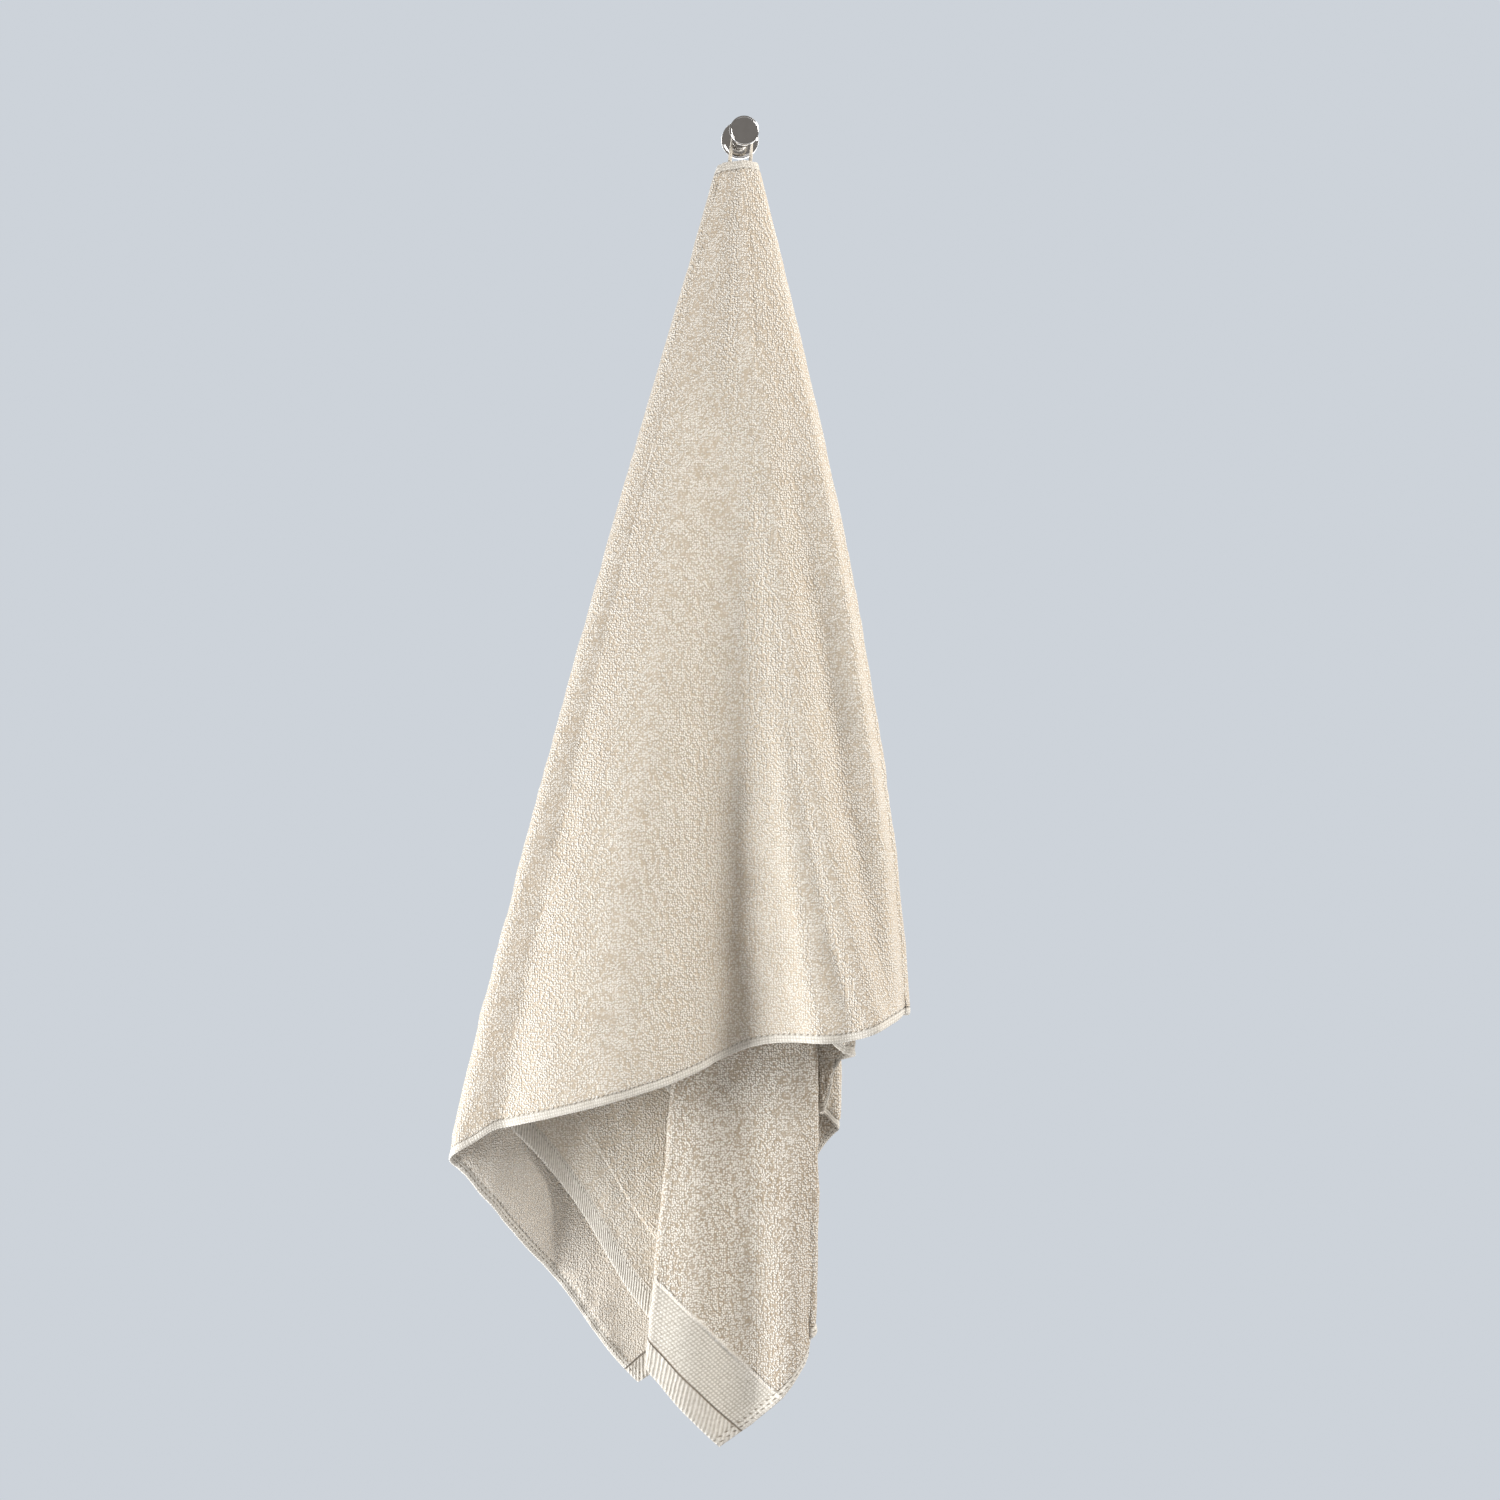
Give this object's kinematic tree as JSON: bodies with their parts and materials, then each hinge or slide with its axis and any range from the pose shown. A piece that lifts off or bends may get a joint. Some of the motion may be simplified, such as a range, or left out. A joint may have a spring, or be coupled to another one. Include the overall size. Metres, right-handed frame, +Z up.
{
  "type": "bath towel hanging by its loop on a wall hook",
  "caption": "Plain terry bath towel draped in soft folds from its sewn hanging loop on a round knob wall hook.",
  "frame": {"origin": "centre of the hook flange's back face, on the wall", "axes": "+X to the right as seen from the room, +Y into the wall, +Z up along the hanging towel"},
  "size_m": [0.3676, 0.1034, 1.0664],
  "materials": {
    "towel_terry": "cream cotton terry loops with flat woven hems",
    "loop_tape": "narrow woven cotton tape",
    "hook_chrome": "polished chrome"
  },
  "bodies": {
    "root": {"towel_cloth": "towel_terry", "hanging_loop": "loop_tape", "hook_flange": "hook_chrome", "hook_peg": "hook_chrome", "hook_disc": "hook_chrome"}
  },
  "joints": []
}
